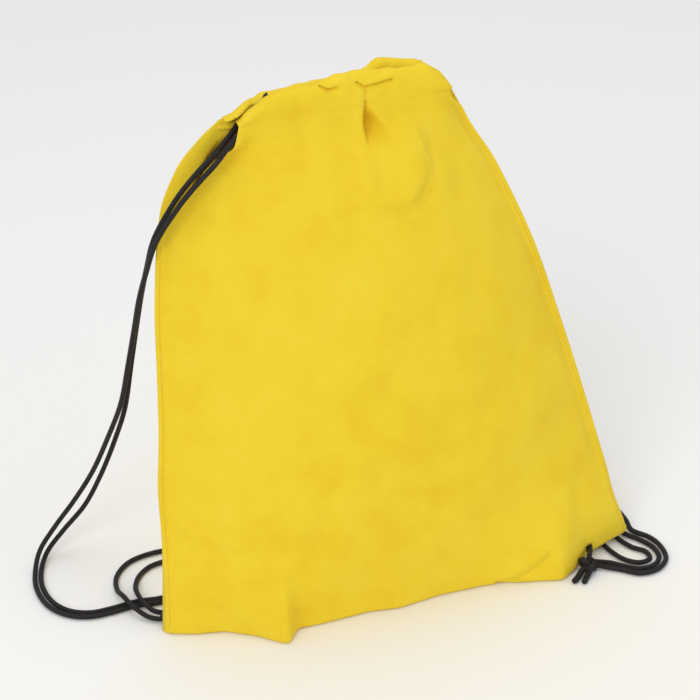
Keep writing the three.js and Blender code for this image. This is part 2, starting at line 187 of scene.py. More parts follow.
def stitches(name, points, normals, material, length=2.7, gap=0.9, width=0.28):
    """Row of separate stitches along a line that lies on the cloth."""
    points, normals = np.asarray(points, float), np.asarray(normals, float)
    along = np.concatenate([[0], np.cumsum(np.linalg.norm(np.diff(points, axis=0), axis=1))])

    def at(values, s):
        """Value of a list that goes with the points, at a distance along them."""
        return np.array([np.interp(s, along, values[:, k]) for k in range(3)])
    vertices, faces = [], []
    shares = np.array([0, 0.12, 0.35, 0.65, 0.88, 1])
    sides = 6
    start = 0.5
    while start + length < along[-1]:
        base = len(vertices)
        for share in shares:
            s = start + share * length
            middle, out = at(points, s), at(normals, s)
            out /= np.linalg.norm(out)
            ahead = at(points, s + 0.2) - at(points, s - 0.2)
            across = np.cross(ahead / np.linalg.norm(ahead), out)
            hump = math.sin(math.pi * share)
            radius = width * (0.35 + 0.65 * hump ** 0.4)
            middle = middle + out * (0.05 + 0.2 * hump)
            for k in range(sides):
                turn = 2 * math.pi * k / sides
                vertices.append(middle + radius * (math.cos(turn) * across + math.sin(turn) * out))
        for i in range(len(shares) - 1):
            for k in range(sides):
                a, b = base + i * sides, base + (i + 1) * sides
                faces.append((a + k, a + (k + 1) % sides, b + (k + 1) % sides, b + k))
        faces.append([base + k for k in range(sides)][::-1])
        faces.append([base + (len(shares) - 1) * sides + k for k in range(sides)])
        start += length + gap
    return new_object(name, vertices, faces, material)


# ---------------------------------------------------------------- materials
def new_material(name, roughness):
    """Material, its node tree and its shader."""
    material = bpy.data.materials.new(name)
    material.use_nodes = True
    tree = material.node_tree
    shader = tree.nodes["Principled BSDF"]
    shader.inputs["Roughness"].default_value = roughness
    return material, tree, shader


def node(tree, kind, **settings):
    """New node with its properties set."""
    made = tree.nodes.new(kind)
    for key, value in settings.items():
        setattr(made, key, value)
    return made


def maths(tree, operation, a, b=None):
    """Result of a maths node; a and b are numbers or sockets."""
    made = tree.nodes.new("ShaderNodeMath")
    made.operation = operation
    for socket, value in zip(made.inputs, (a, b)):
        if value is None:
            continue
        if isinstance(value, (int, float)):
            socket.default_value = value
        else:
            tree.links.new(value, socket)
    return made.outputs[0]


def ramp(tree, factor, stops):
    """Colour that goes through the stops, each a place and a colour, as the factor rises."""
    made = tree.nodes.new("ShaderNodeValToRGB")
    elements = made.color_ramp.elements
    while len(elements) < len(stops):
        elements.new(0.5)
    for element, (place, colour) in zip(elements, stops):
        element.position = place
        element.color = (*colour, 1)
    tree.links.new(factor, made.inputs[0])
    return made.outputs[0]


def noise(tree, vector, scale, detail, roughness=0.5):
    """Value of a noise texture."""
    made = node(tree, "ShaderNodeTexNoise")
    made.inputs["Scale"].default_value = scale
    made.inputs["Detail"].default_value = detail
    made.inputs["Roughness"].default_value = roughness
    tree.links.new(vector, made.inputs["Vector"])
    return made.outputs["Fac"]


def add_bump(tree, shader, height, strength, distance):
    """Fine relief on a shader; distance is the relief's depth in metres."""
    bump = node(tree, "ShaderNodeBump")
    bump.inputs["Strength"].default_value = strength
    bump.inputs["Distance"].default_value = distance
    tree.links.new(height, bump.inputs["Height"])
    tree.links.new(bump.outputs[0], shader.inputs["Normal"])


def fabric_material():
    """Spunbond non-woven cloth: a fine diagonal grid of pressed points, soft mottling and matt fibres."""
    grid_pitch = 0.00155
    material, tree, shader = new_material("nonwoven_yellow", 0.78)
    shader.inputs["Specular IOR Level"].default_value = 0.18
    shader.inputs["Sheen Weight"].default_value = 0.03
    shader.inputs["Sheen Roughness"].default_value = 0.5
    place = node(tree, "ShaderNodeTexCoord").outputs["Object"]
    cloth = node(tree, "ShaderNodeUVMap", uv_map="cloth").outputs[0]
    turned = node(tree, "ShaderNodeMapping")
    turned.inputs["Rotation"].default_value = (0, 0, math.radians(45))
    turned.inputs["Scale"].default_value = (2 * math.pi / grid_pitch,) * 3
    tree.links.new(cloth, turned.inputs["Vector"])
    split = node(tree, "ShaderNodeSeparateXYZ")
    tree.links.new(turned.outputs[0], split.inputs[0])
    grid = maths(tree, "MULTIPLY", *[maths(tree, "SINE", split.outputs[k]) for k in (0, 1)])
    points = maths(tree, "POWER", maths(tree, "MAXIMUM", grid, 0.0), 1.5)

    mottle = noise(tree, place, 38, 5, 0.6)
    fibres = noise(tree, place, 900, 3, 0.7)
    broad = noise(tree, place, 9, 3, 0.55)
    blend = maths(tree, "ADD", maths(tree, "MULTIPLY", mottle, 0.55), maths(tree, "MULTIPLY", broad, 0.45))
    tint = ramp(tree, blend, [
        (0.30, (0.87, 0.605, 0.020)), (0.5, (0.915, 0.675, 0.031)), (0.72, (0.94, 0.722, 0.047)),
    ])
    darker = node(tree, "ShaderNodeMix", data_type="RGBA", blend_type="MULTIPLY")
    darker.inputs[7].default_value = (0.90, 0.83, 0.60, 1)
    tree.links.new(maths(tree, "MULTIPLY", points, 0.9), darker.inputs[0])
    tree.links.new(tint, darker.inputs[6])
    tree.links.new(darker.outputs[2], shader.inputs["Base Color"])
    roughness = maths(tree, "ADD", maths(tree, "MULTIPLY", fibres, 0.16), 0.70)
    tree.links.new(roughness, shader.inputs["Roughness"])
    height = maths(tree, "ADD", maths(tree, "MULTIPLY", points, -1.2), maths(tree, "MULTIPLY", fibres, 0.55))
    height = maths(tree, "ADD", height, maths(tree, "MULTIPLY", mottle, 1.2))
    add_bump(tree, shader, height, 0.5, 0.0003)
    return material


def thread_material():
    """Twisted sewing thread, a little darker than the cloth."""
    material, tree, shader = new_material("sewing_thread", 0.6)
    place = node(tree, "ShaderNodeTexCoord").outputs["Object"]
    wave = node(tree, "ShaderNodeTexWave", wave_type="BANDS", bands_direction="DIAGONAL")
    wave.inputs["Scale"].default_value = 900
    tree.links.new(place, wave.inputs["Vector"])
    tint = ramp(tree, wave.outputs["Fac"], [(0.1, (0.72, 0.50, 0.022)), (0.9, (0.88, 0.65, 0.04))])
    tree.links.new(tint, shader.inputs["Base Color"])
    add_bump(tree, shader, wave.outputs["Fac"], 0.4, 0.0001)
    return material


def cord_material():
    """Braided polyester cord: crossing strands with painted shade in their grooves, a soft sheen and a few
    pale flecks of painted highlight.
    """
    strands, strand_pitch = 8, 0.0026
    material, tree, shader = new_material("braided_cord", 0.5)
    shader.inputs["Specular IOR Level"].default_value = 0.2
    cord = node(tree, "ShaderNodeUVMap", uv_map="cord").outputs[0]
    split = node(tree, "ShaderNodeSeparateXYZ")
    tree.links.new(cord, split.inputs[0])
    round_it = maths(tree, "MULTIPLY", split.outputs[0], 2 * math.pi * strands)
    along = maths(tree, "MULTIPLY", split.outputs[1], 2 * math.pi / strand_pitch)
    one = maths(tree, "SINE", maths(tree, "ADD", round_it, along))
    two = maths(tree, "SINE", maths(tree, "SUBTRACT", round_it, along))
    braid = maths(tree, "MAXIMUM", one, two)
    level = maths(tree, "ADD", maths(tree, "MULTIPLY", braid, 0.5), 0.5)
    # The braid's grooves are painted darker than its ridges: painted shade.
    tint = ramp(tree, level, [
        (0.25, (0.004, 0.0036, 0.0042)), (0.8, (0.020, 0.0175, 0.019)), (1.0, (0.034, 0.030, 0.031)),
    ])
    place = node(tree, "ShaderNodeTexCoord").outputs["Object"]
    # Pale flecks of painted highlight: glints on the black cord, painted into its colour.
    painted_glints = ramp(tree, noise(tree, place, 520, 3), [(0.62, (0, 0, 0)), (0.72, (1, 1, 1))])
    mixed = node(tree, "ShaderNodeMix", data_type="RGBA")
    mixed.inputs[7].default_value = (0.085, 0.08, 0.078, 1)
    tree.links.new(maths(tree, "MULTIPLY", painted_glints, 0.5), mixed.inputs[0])
    tree.links.new(tint, mixed.inputs[6])
    tree.links.new(mixed.outputs[2], shader.inputs["Base Color"])
    roughness = maths(tree, "SUBTRACT", 0.66, maths(tree, "MULTIPLY", level, 0.2))
    tree.links.new(roughness, shader.inputs["Roughness"])
    add_bump(tree, shader, level, 0.7, 0.0004)
    return material


def floor_material():
    """Plain pale floor."""
    material, _, shader = new_material("pale_floor", 0.9)
    shader.inputs["Base Color"].default_value = (0.96, 0.96, 0.96, 1)
    return material


FABRIC = fabric_material()
THREAD = thread_material()
CORD = cord_material()

# ---------------------------------------------------------------- cords
RADIUS = 1.8
# Height of a strand's middle where it lies on the floor, and where it crosses over another
FLOOR = 2.1
OVER = FLOOR + 4.2
# The channels lie on either side of the mouth's middle
MOUTH = np.array([-9.0, 20.0, 366.5])
MOUTH_LENGTH = 114
CHANNEL_OFFSET = 9
# The two cords share each channel: they cross in height and keep to their own sides
LANE_RISE = 1.95
LANE_SIDE = 2.1
CORD_DROP = 3.5
# How far a strap strand reaches into its channel, and where the cord's run takes over
STRAP_REACH = 24
RUN_START = 24.3
BRAID_RELIEF = 0.035
TAIL_RADIUS = RADIUS + 0.32
TAIL_TIP = 1.6


def cord_point(end, side, along):
    """A cord's line through a channel; end is -1 for the left strap's cord, side -1 for the front channel."""
    rise = LANE_RISE * (2 * along / MOUTH_LENGTH - 1) - CORD_DROP
    x = MOUTH[0] + end * (MOUTH_LENGTH / 2 - along)
    return [x, MOUTH[1] + side * CHANNEL_OFFSET + end * LANE_SIDE, MOUTH[2] + rise]


def strap_start(end, side):
    """A strap strand's first points: inside its channel, at the channel's end and just past it."""
    return [cord_point(end, side, along) for along in (STRAP_REACH, 0, -5)]


LEFT_OUTER = strap_start(-1, -1) + [
    [-76.5, 7, 359.2], [-82, 6.4, 353.8], [-87.2, 5.2, 349], [-93.7, 4, 342.8], [-101.2, 3.8, 334.4],
    [-110.3, 3.4, 326.4], [-119.6, 3.1, 317.8], [-127.9, 3, 308.9], [-143.6, 6, 286], [-151.1, 15, 259.6],
    [-156, 24, 236], [-159.8, 34, 208.5], [-164.6, 45, 176.3], [-170.5, 57.5, 140], [-180, 71, 106.7],
    [-192.5, 84, 72], [-207.4, 93, 44.5], [-222, 96, 25], [-235.7, 90, 11], [-242.5, 76, FLOOR + 1],
    [-245, 55, FLOOR], [-240, 31, FLOOR], [-228, 16, FLOOR], [-214, 10, FLOOR], [-200, 10, FLOOR],
    [-181, 12, FLOOR], [-162, 10, FLOOR], [-143, 13, FLOOR], [-128, 25, FLOOR], [-122, 43, FLOOR],
    [-128, 61, FLOOR], [-142, 70, FLOOR], [-160, 71, FLOOR], [-177, 65, FLOOR], [-188, 51, FLOOR],
    [-191, 34, FLOOR + 1], [-189, 20, OVER], [-185, 6, OVER], [-177, -5, FLOOR + 1], [-169, -10.5, FLOOR + 1],
    [-164, -11.2, 4.6],
]
LEFT_INNER = strap_start(-1, 1)[:2] + [
    [-71, 26.2, 360.3], [-76, 21, 358], [-80.6, 16.8, 355], [-85, 13.2, 352.5], [-89.6, 11, 348.8],
    [-93, 9.6, 346.2], [-97, 9, 341.9], [-103.3, 8.5, 336.4], [-110, 8, 331], [-121.4, 7.5, 320.2],
    [-130.5, 8, 309], [-144, 12, 285], [-149.5, 20, 260.4], [-153.7, 29, 235], [-157.7, 39, 205.4],
    [-161.8, 50, 173], [-167, 64, 132], [-174, 76, 102], [-186, 89, 65], [-199.3, 98, 36],
    [-216, 100, 17.5], [-229.4, 94, 7], [-237, 80, FLOOR + 0.6], [-240.5, 57, FLOOR], [-236, 34, FLOOR],
    [-226, 20.5, FLOOR], [-213, 14.5, FLOOR], [-199, 14.6, FLOOR], [-181, 16.6, FLOOR],
    [-163, 14.8, FLOOR], [-146, 17.5, FLOOR], [-134, 27, FLOOR], [-129, 40, FLOOR], [-132, 52, FLOOR],
    [-141, 58, FLOOR], [-152, 58, FLOOR], [-163, 55, FLOOR], [-172, 47, FLOOR], [-177, 36, FLOOR + 1],
    [-179, 22, OVER], [-177, 8, OVER], [-172, -1, FLOOR + 2], [-166, -6.3, FLOOR + 2.5],
    [-162.5, -9.6, 5.2],
]
RIGHT_OUTER = strap_start(1, -1) + [
    [56.4, 17.5, 358.8], [58.8, 23, 357.2], [60.4, 28.5, 354], [62, 32, 347], [64.5, 35, 334], [69, 37, 314],
    [76, 37, 285], [88, 36, 220], [99, 37, 140], [109, 39.5, 55], [114.5, 46, 18], [120.5, 60, FLOOR + 2],
    [123.5, 80, FLOOR], [131, 99, FLOOR], [142.5, 96.5, FLOOR], [145.5, 82, FLOOR], [138, 60, FLOOR],
    [147, 33, FLOOR], [160, 10, FLOOR], [164.5, -26, FLOOR], [170, -40, FLOOR], [177, -48.5, FLOOR],
    [176.5, -57.5, FLOOR], [168.5, -59.8, FLOOR], [160, -53.5, FLOOR], [153.5, -38, FLOOR], [151, -18, FLOOR],
    [150, -3, FLOOR + 1], [155, 8, OVER], [165, 11, OVER], [174.5, 4, OVER], [178, -8, FLOOR + 1.5],
    [178, -20, FLOOR], [186, -32, FLOOR], [189.5, -44, FLOOR], [187.5, -61, FLOOR], [177.5, -71, FLOOR],
    [164, -72, FLOOR], [152, -62.7, FLOOR], [138.2, -54.6, FLOOR + 1.2], [133.5, -54, 4.8],
]
RIGHT_INNER = strap_start(1, 1) + [
    [57.5, 34, 358], [60, 37.5, 350], [61.5, 40, 337], [64.5, 41.5, 316], [70, 41.5, 282], [80, 41, 220],
    [91, 41, 140], [101, 43.5, 60], [105.5, 50, 22], [110.5, 64, FLOOR + 1.5], [113.5, 82, FLOOR],
    [117, 101, FLOOR], [129, 112, FLOOR], [146, 109, FLOOR], [154.5, 94, FLOOR], [151.5, 79, FLOOR],
    [146, 63, FLOOR], [151, 45, FLOOR], [163, 28, FLOOR], [171, 10, FLOOR], [170.5, -8, FLOOR],
    [171.5, -22, FLOOR], [178.5, -33, FLOOR], [184, -45, FLOOR], [183.4, -58, FLOOR], [176, -66, FLOOR],
    [165, -66.5, FLOOR], [156, -60, FLOOR], [148.5, -53, FLOOR], [142.5, -50.4, FLOOR + 0.5],
    [136.6, -49.8, FLOOR + 1.8], [132.8, -52.4, 5.4],
]
LEFT_KNOT = [-161.5, -11.4, 5.8]
RIGHT_KNOT = [131.2, -54.5, 5.8]
TIES = {
    "left_corner_tie": [[-160, -10.8, 6.5], [-157.4, -9.6, 10.9], [-156.6, -12.5, 11.6], [-157, -17.5, 11]],
    "right_corner_tie": [[131.6, -53.6, 6], [132.9, -51.2, 9.2], [134.6, -48.2, 11], [136.6, -44, 10],
                         [138, -39.5, 10]],
}
TAILS = {
    "left_tail_upper": [[-160, -10.6, 5.4], [-155.4, -9, 5], [-149, -5, 4], [-141, -3, FLOOR]],
    "left_tail_lower": [[-160, -9.6, 4.6], [-157, -5.8, 2.6], [-152, 1, FLOOR], [-145, 6, FLOOR]],
    "right_tail_upper": [[130, -55, 5.2], [125.2, -57.6, 4.2], [121, -61, FLOOR], [115.5, -66, FLOOR]],
    "right_tail_lower": [[130.6, -56, 4.8], [129.2, -60.6, 3.4], [126, -64, FLOOR], [122, -69, FLOOR]],
}


def overhand_knot(name, centre, turn):
    """Small tight knot: one round cord on a trefoil line, drawn close."""
    size, radius, tilt = np.array([2.0, 1.7, 2.2]), 2.3, 0.35
    t = np.linspace(0, 2 * math.pi, 73)
    line = np.stack([np.sin(t) + 2 * np.sin(2 * t), np.cos(t) - 2 * np.cos(2 * t), -np.sin(3 * t)], axis=1)
    line *= size
    spin = Matrix.Rotation(turn, 3, "Z") @ Matrix.Rotation(tilt, 3, "X")
    line = line @ np.array(spin).T + np.array(centre)
    return tube(name, line, radius, CORD, sides=14, step=0.8, closed=True, braid=0.05)[0]


def channel_run(end):
    """The cord's part that lies in both channels; its bight is tucked into the mouth's far end."""
    turn_at, reach = MOUTH_LENGTH - 11, 6.5
    straight = [RUN_START, 40, 57, 80, turn_at]
    points = [cord_point(end, -1, along) for along in straight]
    for angle in np.radians(np.linspace(-90, 90, 9)[1:-1]):
        along = turn_at + reach * math.cos(angle)
        share = (1 + math.sin(angle)) / 2
        front, rear = np.array(cord_point(end, -1, along)), np.array(cord_point(end, 1, along))
        points.append(front * (1 - share) + rear * share)
    return points + [cord_point(end, 1, along) for along in straight[::-1]]


def corner_pieces(side, centre, turn):
    """Knot, tie and tails at one bottom corner."""
    knot = overhand_knot(f"{side}_knot", centre, turn)
    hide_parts(f"{side}_corner_knot")
    pieces = [knot]
    for routes, radius, tip in ((TIES, RADIUS, 0), (TAILS, TAIL_RADIUS, TAIL_TIP)):
        for name, points in routes.items():
            if name.startswith(side):
                piece = tube(name + "_cord", points, radius, CORD, braid=BRAID_RELIEF, ends=(0, tip))[0]
                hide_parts(name)
                pieces.append(piece)
    for piece in pieces:
        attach(piece, "bag")
    return pieces


def build_cord(side, end, corner, routes):
    """One cord: its run in the channels, its corner pieces and its two strap strands."""
    run = tube(f"{side}_cord_run", channel_run(end), RADIUS, CORD, braid=BRAID_RELIEF)[0]
    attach(run, f"{side}_cord")
    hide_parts(f"{side}_cord_in_channels")
    extras = corner_pieces(side, *corner)
    for which, route in zip(("outer", "inner"), routes):
        strap, path, length = tube(f"{side}_strap_{which}_cord", route, RADIUS, CORD, braid=BRAID_RELIEF)
        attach(strap, "bag")
        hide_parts(f"{side}_strap_{which}")


build_cord("left", -1, (LEFT_KNOT, 0.5), (LEFT_OUTER, LEFT_INNER))
build_cord("right", 1, (RIGHT_KNOT, 1.9), (RIGHT_OUTER, RIGHT_INNER))

# ---------------------------------------------------------------- cloth
# Width of the cloth, flat; the fin of doubled cloth along each side seam
CLOTH_WIDTH = 340
FIN = 5
# Height, then half the width, the middle's sideways shift, the seams' depth, and how far each layer bulges
HALF_WIDTH = [(0, 170), (60, 161.5), (120, 152), (180, 142), (240, 131), (300, 114), (325, 101), (340, 91.5),
              (357, 78)]
SIDEWAYS = [(0, 0), (60, -2), (120, -6), (180, -11), (240, -17), (300, -24), (325, -25), (340, -22.5),
            (357, -17)]
SEAM_Y = [(0, -20), (60, -13), (120, -5), (180, 3), (240, 10), (300, 16), (340, 20), (357, 20)]
FRONT_BULGE = [(0, 30), (60, 44), (120, 50), (180, 50), (240, 44), (300, 31), (340, 17), (357, 12)]
BACK_BULGE = [(0, 42), (60, 52), (120, 56), (180, 54), (240, 46), (300, 33), (340, 17), (357, 12)]
# Where the front's bottom edge lies on the floor: x, y
FRONT_EDGE = [(-170, -24.5), (-167.5, -27), (-150, -34), (-130, -38), (-111, -50), (-97, -62), (-91, -67),
              (-86, -59), (-81, -53), (-59, -52), (-29, -50), (-8, -53), (23, -48), (57, -48), (73, -51),
              (94, -56), (110, -60.5), (121, -54), (134, -41.5), (150, -35.5), (158, -31), (166, -27),
              (172, -22)]
# The front layer's top left corner leaves the side seam and stands open: height, x and height, y
NOTCH_FROM = 281
NOTCH_X = [(281, -142.1), (289, -137.2), (298.8, -130), (306.5, -123.5), (315.4, -115.6), (324.2, -107.8),
           (331.2, -100.9), (337.7, -94.7), (341.4, -90.2), (347, -87.7), (357, -85.0)]
NOTCH_Y = [(281, 14.1), (289, 14.8), (298.8, 15.2), (306.5, 15), (315.4, 14.8), (324.2, 14.5), (331.2, 13.6),
           (337.7, 12), (341.4, 6.5), (345, 3), (350, 2), (357, 2.4)]
# Depth of the back layer along the channel's stitches, against x
BACK_EDGE = [(-96, 20), (-92, 18.4), (-88.5, 17.2), (-85, 17.4), (-81, 21.3), (-76, 26), (-71, 30.6),
             (-64, 33.4), (-45, 34), (36, 34), (62, 23)]
# Top edge of each channel: x, z
FRONT_TOP = [(-85, 358.8), (-83, 359.3), (-79, 362), (-74, 365.3), (-66, 370.6), (-57, 374), (-44, 375),
             (-31, 375), (-26, 377), (-13, 380), (1.6, 380), (15.5, 378), (27, 377.2), (35, 377), (43, 377.2),
             (47.4, 374.2), (51.9, 370.4), (55.7, 365.3), (58.7, 360.4), (59.4, 359)]
BACK_TOP = [(-95.2, 358.6), (-90, 361.4), (-86.3, 362.8), (-79, 364.6), (-71.5, 365.2), (-66, 365.2),
            (-57, 366.5), (-40, 368.5), (-10, 369.5), (4, 370.5), (9, 373.5), (12, 376.8), (15, 378.4),
            (22, 377.4), (31, 375), (41, 373), (49, 371), (54, 367.5), (59, 362), (66, 360)]
# Section of a channel: distance outwards from its middle, height; from the stitches over the top to the hem
SECTION = [(5.0, 357.0), (5.0, 358.2), (5.2, 360.5), (5.6, 364), (5.6, 368), (5.0, 372), (3.4, 375.2),
           (0.6, 377), (-2.4, 376), (-4.4, 373), (-5.0, 369), (-5.0, 364), (-4.6, 360.6), (-2.6, 358.5),
           (1.5, 358.0), (3.4, 358.0), (3.6, 356.4), (3.5, 354), (3.4, 351.5)]
CHANNEL_ROWS = 58
# Heights of the stitched line and of the section's top, and the line's depth in the front and the back layer
STITCH_Z = 358.2
SECTION_TOP = 377
FRONT_LINE_Y = 6
BACK_LINE_Y = 34
# Left and right end of the front channel's outer wall
FRONT_ENDS = (-85.0, 59.4)
CLOTH_THICKNESS = 0.45
# Holes that the corner ties go through: x, height, lowest and highest depth
TIE_HOLES = [(137, 9.6, -60, -20), (-157, 11, -18, 20)]
HOLE_RADIUS = 3.0
# Creases and soft ridges of the front: points (x, height), distance outwards, half width
STROKES = [
    ([(-88, 357), (-88.4, 340), (-96.7, 307), (-112, 297)], -1.1, 4.0),
    ([(-92, 357), (-93, 330), (-101, 304)], 0.8, 6.0),
    ([(-150, 80), (-146, 78), (-133, 71), (-98, 70)], 1.5, 4.5),
    ([(-148, 66), (-128, 60), (-100, 60)], -0.9, 6.0),
    ([(-160, 30), (-120, 26), (-97, 3)], 0.9, 7.0),
    ([(-80, 3), (-72, 30), (-70, 60)], -1.2, 9.0),
    ([(66, 0), (78, 4), (90, 11), (102, 22)], -2.4, 2.6),
    ([(72, 9), (90, 17), (104, 32)], 1.6, 5.0),
    ([(118, 4), (126, 26), (134, 60)], -0.9, 6.0),
    ([(-40, 352), (-44, 325), (-50, 300)], -0.6, 7.0),
    ([(38, 352), (50, 320), (60, 292)], -0.7, 7.0),
    ([(-20, 352), (-19, 330), (-14, 312)], 0.5, 7.0),
]
# Rim of the loose pouch under the pleat: x, height
POUCH_RIM = [(-14, 326), (-13.1, 318.7), (-10.5, 310.5), (-2.7, 300.9), (6, 293.5), (14.8, 289.9),
             (23.5, 289.4), (30.6, 293.4), (36.8, 300.8), (39.1, 306), (38.6, 317), (34.2, 327), (31.8, 336)]
# Creases of the back, as the front's
BACK_STROKES = [
    ([(-70, 350), (-78, 290), (-90, 230)], -1.6, 8),
    ([(-20, 350), (-22, 280), (-30, 210)], -1.8, 9),
    ([(30, 350), (42, 285), (56, 225)], -1.6, 8),
    ([(-140, 60), (-100, 84), (-50, 92)], 1.3, 10),
    ([(130, 50), (95, 76), (40, 88)], 1.3, 10),
    ([(-60, 8), (-56, 50), (-48, 90)], -1.4, 9),
    ([(70, 8), (64, 48), (52, 84)], -1.4, 9),
    ([(-96, 357), (-101, 346), (-108, 336)], -1.6, 5),
]
# Short folds pressed into the front channel: x, height
SLOTS = [
    [(-28.8, 374.2), (-23.6, 371.3), (-17.9, 372.4)],
    [(-4.9, 373.6), (-0.4, 370.2), (9.7, 370.6), (18.5, 371.9)],
]


def surface_noise(count, low, high):
    """A few waves of random direction and phase, as a function of two coordinates."""
    length = rng.uniform(low, high, count)
    turn = rng.uniform(0, math.pi, count)
    phase = rng.uniform(0, 2 * math.pi, count)

    def at(a, b):
        """The waves' sum at two coordinates."""
        total = np.zeros(np.broadcast(a, b).shape)
        for wave, angle, start in zip(length, turn, phase):
            total = total + np.sin(2 * math.pi * (a * math.cos(angle) + b * math.sin(angle)) / wave + start)
        return total / math.sqrt(count)
    return at


broad_noise = surface_noise(9, 60, 150)
middle_noise = surface_noise(12, 22, 48)
fine_noise = surface_noise(14, 7, 15)


def stroke_share(x, h, points, width):
    """1 on a line of points and falling off smoothly to either side."""
    nearest = np.full(np.broadcast(x, h).shape, 1e9)
    for (x0, h0), (x1, h1) in zip(points, points[1:]):
        dx, dh = x1 - x0, h1 - h0
        t = np.clip(((x - x0) * dx + (h - h0) * dh) / (dx * dx + dh * dh), 0, 1)
        nearest = np.minimum(nearest, np.hypot(x - x0 - t * dx, h - h0 - t * dh))
    return np.exp(-(nearest / width) ** 2)


def pleat(x, h):
    """The pinched pleat right of the middle: a slit, a hollow on its right and the loose pouch under it."""
    line = np.interp(h, [343, 357, 371], [-1.8, -0.4, 0.6])
    beside = x - line
    slit = -3.6 * np.exp(-((beside - 0.9) / 1.3) ** 2) * smooth(341, 349, h) * (1 - smooth(368, 372, h))
    wide = np.interp(h, [334, 341, 357], [21, 16, 3])
    deep = smooth(331, 339.5, h) * (1 - smooth(341, 359, h))
    hollow = -12.5 * deep * (1 - smooth(0.25, 1, beside / wide)) * smooth(-0.6, 0.6, beside)
    lip = 1.1 * np.exp(-((beside + 4) / 4) ** 2) * smooth(330, 345, h) * (1 - smooth(366, 376, h))
    reach = np.hypot((x - 13.5) / 27, (np.minimum(h, 318) - 318) / 29)
    pouch = 4.2 * (1 - smooth(0.7, 1.05, reach)) * (1 - smooth(318, 346, h))
    rim = 1.0 * stroke_share(x, h, POUCH_RIM, 1.5)
    trough = -1.2 * stroke_share(x, h, [(4, 326), (1, 306)], 5.5)
    swell = 1.9 * stroke_share(x, h, [(27, 332), (28, 312), (20, 299)], 8)
    return slit + hollow + lip + pouch + rim + trough + swell


def front_features(x, h):
    """Pleat, creases and gathers of the front: distance outwards."""
    out = pleat(x, h)
    for points, amount, width in STROKES:
        out = out + amount * stroke_share(x, h, points, width)
    gathers = np.sin((x + 9) / 4.6) + 0.7 * np.sin((x - 3) / 2.9 + 1.1)
    out = out + 0.35 * gathers * smooth(318, 352, h) * (1 - np.exp(-((x - 2) / 14) ** 2))
    return out


def back_features(x, h):
    """Gathers that run down from the back channel, and a few soft folds: distance outwards."""
    gathers = np.sin((x + 4) / 5.2 + 0.8 * np.sin(x / 21)) + 0.6 * np.sin((x - 8) / 3.1)
    out = 0.7 * gathers * smooth(285, 350, h)
    for points, amount, width in BACK_STROKES:
        out = out + amount * stroke_share(x, h, points, width)
    return out


def lift(x, h):
    """How far the right bottom corner stands off the floor."""
    return 4.4 * smooth(105, 150, x) * np.clip((80 - h) / 70, 0, 1)


def front_floor_y(x):
    """Depth of the front's bottom edge, its table's corners slightly rounded."""
    places = np.array(FRONT_EDGE, float)
    spread = (-2.4, -1.2, 0, 1.2, 2.4)
    return sum(np.interp(x + d, places[:, 0], places[:, 1]) for d in spread) / len(spread)


def top_y(side, u, x):
    """Where the cloth meets the channel's stitches."""
    if side < 0:
        return FRONT_LINE_Y - 3.6 * smooth(0.7, 1, -u) + 6 * smooth(0.8, 1, u)
    return np.interp(x, *np.array(BACK_EDGE, float).T)


def panel(side, u, h):
    """Middle of the cloth at height h; u runs from -1 at the left seam to 1 at the right seam."""
    half, seam = table(HALF_WIDTH, h), table(SEAM_Y, h)
    loft_x = table(SIDEWAYS, h) + half * u
    inner = np.minimum(np.abs(u) / (1 - FIN / half), 1)
    rise = np.minimum((1 - inner) / 0.42, 1)
    ear = rise * (2 - rise) if side < 0 else 1 - smooth(0.5, 1, inner)
    lens = 1 - inner ** (2.2 + 2 * smooth(280, 356, h))
    low = smooth(0, 70, h)
    share = ear * (1 - low) + lens * low
    if side > 0:
        share = share * (1 - 0.9 * smooth(0.68, 0.84, -u) * smooth(280, 298, h))
    loose = smooth(0, 0.12, share)
    out = 0.35 + 1.5 * loose + table(FRONT_BULGE if side < 0 else BACK_BULGE, h) * share
    loft_x = loft_x - 2.0 * smooth(0.88, 1, -u) * np.exp(-((h - 106) / 28) ** 2)
    x = loft_x
    if side < 0:
        left, right = table(SIDEWAYS, h) - half, table(SIDEWAYS, h) + half
        open_left = np.where(h > NOTCH_FROM, table(NOTCH_X, np.maximum(h, NOTCH_FROM)), left)
        shut = smooth(340, 357, h)
        open_right = right - (right - FRONT_ENDS[1]) * shut
        x = open_left + (loft_x - left) * (open_right - open_left) / (right - left)
    features = (front_features if side < 0 else back_features)(x, h)
    wrinkles = 1.0 * broad_noise(x + 400 * side, h) + 0.4 * middle_noise(x - 300 * side, h)
    wrinkles = wrinkles + 0.07 * fine_noise(x + 90 * side, h)
    calm = smooth(0, 25, h) * (1 - smooth(325, 355, h))
    out = out + loose * (features + calm * wrinkles)
    y = seam + side * out
    if side < 0:
        floor_y = seam - 0.35 + (front_floor_y(x) - seam + 0.35) * (1 - smooth(0.985, 1, np.abs(u)))
        y = floor_y * (1 - low) + y * low - loose * (1 - low) * (calm * wrinkles + features)
        edge = np.where(h > NOTCH_FROM, table(NOTCH_Y, np.maximum(h, NOTCH_FROM)), seam)
        beyond = smooth(0.8, 1, -u) * smooth(NOTCH_FROM, NOTCH_FROM + 14, h)
        y = y * (1 - beyond) + edge * beyond
        x = x + 3.5 * smooth(0.9, 1, u) * (1 - smooth(0, 40, h))
    meet = smooth(324, 356, h) if side > 0 else smooth(330, 356, h)
    y = y * (1 - meet) + (top_y(side, u, x) + side * features) * meet
    return x, y, h + lift(x, h)


